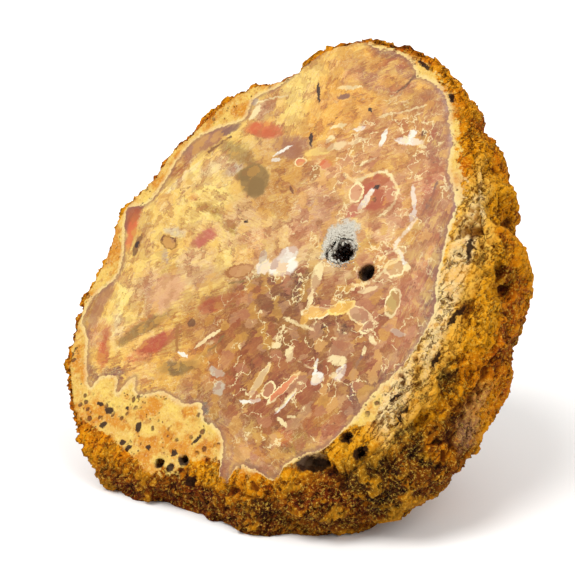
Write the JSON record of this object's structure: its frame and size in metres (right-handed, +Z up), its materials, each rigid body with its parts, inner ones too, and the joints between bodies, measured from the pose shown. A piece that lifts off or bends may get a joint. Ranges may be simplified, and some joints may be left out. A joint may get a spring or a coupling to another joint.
{
  "type": "petrified wood",
  "caption": "Petrified wood end piece with one flat polished face leaning back, a pocket lined with quartz crystals, a porous rind and lumpy bark, resting on a flat spot.",
  "frame": {"origin": "centre of the object's bounding box, on the floor plane that its flat spot rests on", "axes": "+Z up; the polished face looks towards -Y and upwards, leaning back 34 degrees; +X to the right of someone who looks at that face"},
  "size_m": [0.1596, 0.1126, 0.1452],
  "materials": {
    "petrified_wood": "satin",
    "quartz_druse": "satin"
  },
  "bodies": {
    "root": {"petrified_wood": "petrified_wood", "quartz_druse": "quartz_druse"}
  },
  "joints": []
}
